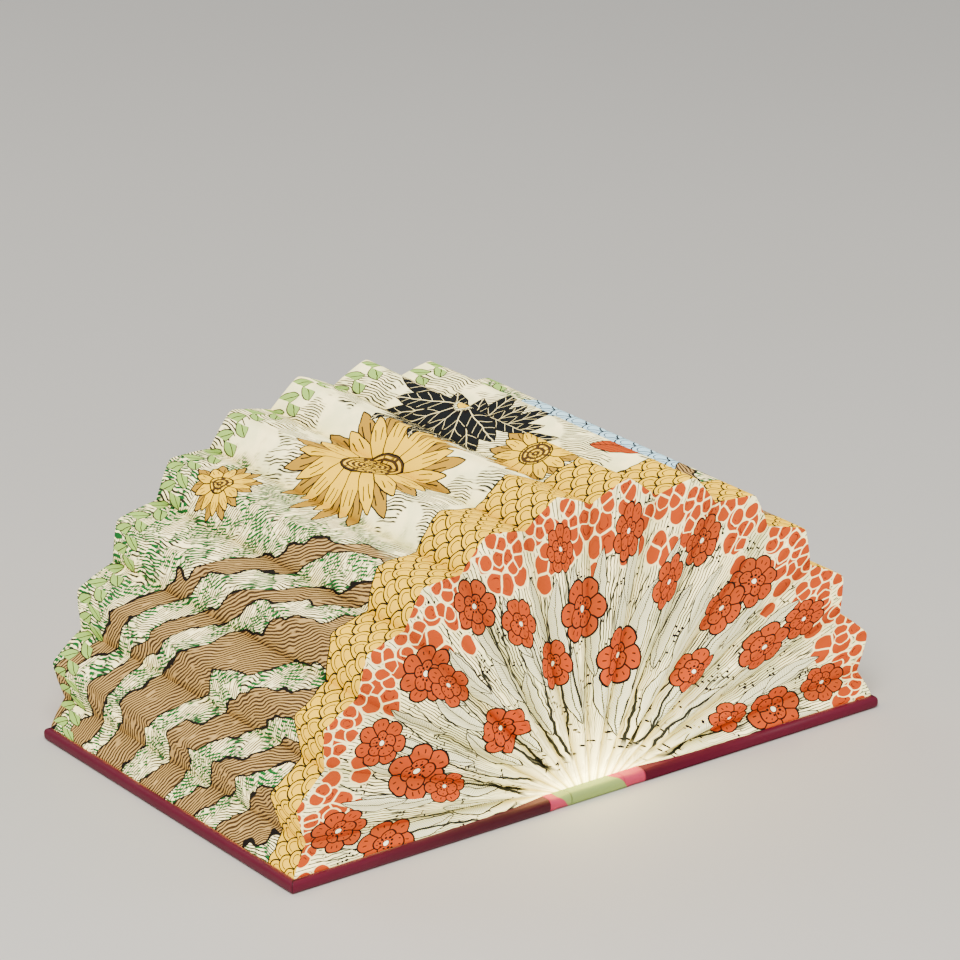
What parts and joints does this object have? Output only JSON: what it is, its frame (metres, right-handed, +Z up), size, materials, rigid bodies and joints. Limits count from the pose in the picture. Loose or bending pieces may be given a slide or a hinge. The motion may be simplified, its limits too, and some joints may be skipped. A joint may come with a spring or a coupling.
{
  "type": "folding book lamp",
  "caption": "Book-shaped lamp whose covers open flat and spread a pleated paper fan over a light bar in the spine.",
  "frame": {"origin": "under the middle of the spine, on the surface that the open lamp stands on", "axes": "+X across the covers towards the right cover, +Y along the spine from the foot to the head, +Z up"},
  "size_m": [0.3392, 0.216, 0.1525],
  "materials": {
    "spine_cloth": "satin leatherette, printed sage green",
    "greyboard": "matt",
    "tray_plastic": "matt moulded",
    "diffuser": "frosted",
    "circuit_board": "solder mask",
    "led": "moulded lens",
    "screw_steel": "plated",
    "cell_foil": "foil pouch",
    "socket_steel": "bright",
    "chip": "matt",
    "wire": "smooth insulation",
    "cover_cloth": "satin leatherette",
    "lining_card": "matt",
    "joint_cloth": "satin leatherette",
    "page_sheet": "soft matt, lets light through",
    "magnet": "nickel plated"
  },
  "bodies": {
    "spine": {"spine_wrap": "spine_cloth", "spine_board": "greyboard", "light_tray": "tray_plastic", "light_diffuser": "diffuser", "led_board": "circuit_board", "leds": "led", "board_screws": "screw_steel", "battery_cells": "cell_foil", "charge_board": "circuit_board", "usb_socket": "socket_steel", "hall_switch": "chip", "wire_leads": "wire"},
    "left_cover": {"left_cover_board": "greyboard", "left_cover_wrap": "cover_cloth", "left_cover_lining": "lining_card", "left_joint_cloth": "cover_cloth", "left_joint_lining": "joint_cloth", "left_end_pleat": "page_sheet", "switch_magnet": "magnet"},
    "right_cover": {"right_cover_board": "greyboard", "right_cover_wrap": "cover_cloth", "right_cover_lining": "lining_card", "right_joint_cloth": "cover_cloth", "right_joint_lining": "joint_cloth", "right_end_pleat": "page_sheet"},
    "pleat_1": {"pleat_1": "page_sheet"},
    "pleat_2": {"pleat_2": "page_sheet"},
    "pleat_3": {"pleat_3": "page_sheet"},
    "pleat_4": {"pleat_4": "page_sheet"},
    "pleat_5": {"pleat_5": "page_sheet"},
    "pleat_6": {"pleat_6": "page_sheet"},
    "pleat_7": {"pleat_7": "page_sheet"},
    "pleat_8": {"pleat_8": "page_sheet"},
    "pleat_9": {"pleat_9": "page_sheet"},
    "pleat_10": {"pleat_10": "page_sheet"},
    "pleat_11": {"pleat_11": "page_sheet"},
    "pleat_12": {"pleat_12": "page_sheet"}
  },
  "joints": [
    {"name": "left_cover_hinge", "type": "hinge", "parent": "spine", "child": "left_cover", "pos_m": [-0.0161, 0, 0.0009], "axis": [0, 1, 0], "range_deg": [0, 90], "deforming": ["left_end_pleat", "left_joint_lining"]},
    {"name": "right_cover_hinge", "type": "hinge", "parent": "spine", "child": "right_cover", "pos_m": [0.0161, 0, 0.0009], "axis": [0, -1, 0], "range_deg": [0, 90], "deforming": ["right_end_pleat", "right_joint_lining"]},
    {"name": "pleat_1_fold", "type": "hinge", "parent": "spine", "child": "pleat_1", "pos_m": [-0.01641, 0, 0.0009], "axis": [0, 1, 0], "range_deg": [0, 78.1], "deforming": ["pleat_1"]},
    {"name": "pleat_2_fold", "type": "hinge", "parent": "spine", "child": "pleat_2", "pos_m": [-0.01343, 0, 0.0009], "axis": [0, 1, 0], "range_deg": [0, 63.9], "deforming": ["pleat_2"]},
    {"name": "pleat_3_fold", "type": "hinge", "parent": "spine", "child": "pleat_3", "pos_m": [-0.01045, 0, 0.0009], "axis": [0, 1, 0], "range_deg": [0, 49.7], "deforming": ["pleat_3"]},
    {"name": "pleat_4_fold", "type": "hinge", "parent": "spine", "child": "pleat_4", "pos_m": [-0.00746, 0, 0.0009], "axis": [0, 1, 0], "range_deg": [0, 35.5], "deforming": ["pleat_4"]},
    {"name": "pleat_5_fold", "type": "hinge", "parent": "spine", "child": "pleat_5", "pos_m": [-0.00448, 0, 0.0009], "axis": [0, 1, 0], "range_deg": [0, 21.3], "deforming": ["pleat_5"]},
    {"name": "pleat_6_fold", "type": "hinge", "parent": "spine", "child": "pleat_6", "pos_m": [-0.00149, 0, 0.0009], "axis": [0, 1, 0], "range_deg": [0, 7.1], "deforming": ["pleat_6"]},
    {"name": "pleat_7_fold", "type": "hinge", "parent": "spine", "child": "pleat_7", "pos_m": [0.00149, 0, 0.0009], "axis": [0, -1, 0], "range_deg": [0, 7.1], "deforming": ["pleat_7"]},
    {"name": "pleat_8_fold", "type": "hinge", "parent": "spine", "child": "pleat_8", "pos_m": [0.00448, 0, 0.0009], "axis": [0, -1, 0], "range_deg": [0, 21.3], "deforming": ["pleat_8"]},
    {"name": "pleat_9_fold", "type": "hinge", "parent": "spine", "child": "pleat_9", "pos_m": [0.00746, 0, 0.0009], "axis": [0, -1, 0], "range_deg": [0, 35.5], "deforming": ["pleat_9"]},
    {"name": "pleat_10_fold", "type": "hinge", "parent": "spine", "child": "pleat_10", "pos_m": [0.01045, 0, 0.0009], "axis": [0, -1, 0], "range_deg": [0, 49.7], "deforming": ["pleat_10"]},
    {"name": "pleat_11_fold", "type": "hinge", "parent": "spine", "child": "pleat_11", "pos_m": [0.01343, 0, 0.0009], "axis": [0, -1, 0], "range_deg": [0, 63.9], "deforming": ["pleat_11"]},
    {"name": "pleat_12_fold", "type": "hinge", "parent": "spine", "child": "pleat_12", "pos_m": [0.01641, 0, 0.0009], "axis": [0, -1, 0], "range_deg": [0, 78.1], "deforming": ["pleat_12"]}
  ],
  "couplings": [
    {"joint": "pleat_1_fold", "follows": "left_cover_hinge", "ratio": 0.86778},
    {"joint": "pleat_2_fold", "follows": "left_cover_hinge", "ratio": 0.71},
    {"joint": "pleat_3_fold", "follows": "left_cover_hinge", "ratio": 0.55222},
    {"joint": "pleat_4_fold", "follows": "left_cover_hinge", "ratio": 0.39444},
    {"joint": "pleat_5_fold", "follows": "left_cover_hinge", "ratio": 0.23667},
    {"joint": "pleat_6_fold", "follows": "left_cover_hinge", "ratio": 0.078888},
    {"joint": "pleat_7_fold", "follows": "right_cover_hinge", "ratio": 0.078888},
    {"joint": "pleat_8_fold", "follows": "right_cover_hinge", "ratio": 0.23667},
    {"joint": "pleat_9_fold", "follows": "right_cover_hinge", "ratio": 0.39444},
    {"joint": "pleat_10_fold", "follows": "right_cover_hinge", "ratio": 0.55222},
    {"joint": "pleat_11_fold", "follows": "right_cover_hinge", "ratio": 0.71},
    {"joint": "pleat_12_fold", "follows": "right_cover_hinge", "ratio": 0.86778}
  ]
}
